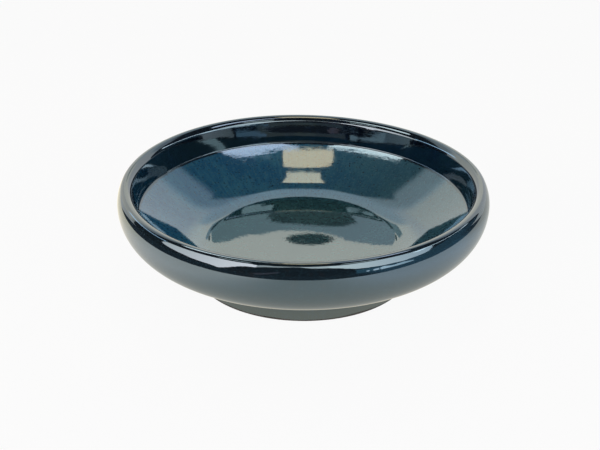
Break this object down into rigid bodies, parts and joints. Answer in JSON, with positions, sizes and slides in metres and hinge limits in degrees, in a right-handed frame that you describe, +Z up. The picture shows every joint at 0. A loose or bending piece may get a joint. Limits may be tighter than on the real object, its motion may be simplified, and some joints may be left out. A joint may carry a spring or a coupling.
{
  "type": "deep coupe plate",
  "caption": "Round deep coupe plate in glossy glazed stoneware, with a rolled rim, a sloped well, a dished floor and a foot ring to stand on.",
  "frame": {"origin": "centre of the foot ring's standing face, on the table", "axes": "+Z up along the axis that the plate is turned about; +X and +Y are alike, as the plate is round"},
  "size_m": [0.22, 0.22, 0.0594],
  "materials": {
    "stoneware": "fired stoneware clay, unglazed, matt",
    "bare_foot_clay": "fired stoneware clay, wiped bare on the standing face, fine grog",
    "inside_glaze": "glossy deep blue-green reactive glaze with fine mottling",
    "outside_glaze": "glossy dark blue glaze, almost black on the lip",
    "base_glaze": "glossy dark blue glaze"
  },
  "bodies": {
    "root": {"stoneware_dish": "stoneware", "foot_ring": "bare_foot_clay", "inside_glaze": "inside_glaze", "outside_glaze": "outside_glaze", "base_glaze": "base_glaze"}
  },
  "joints": []
}
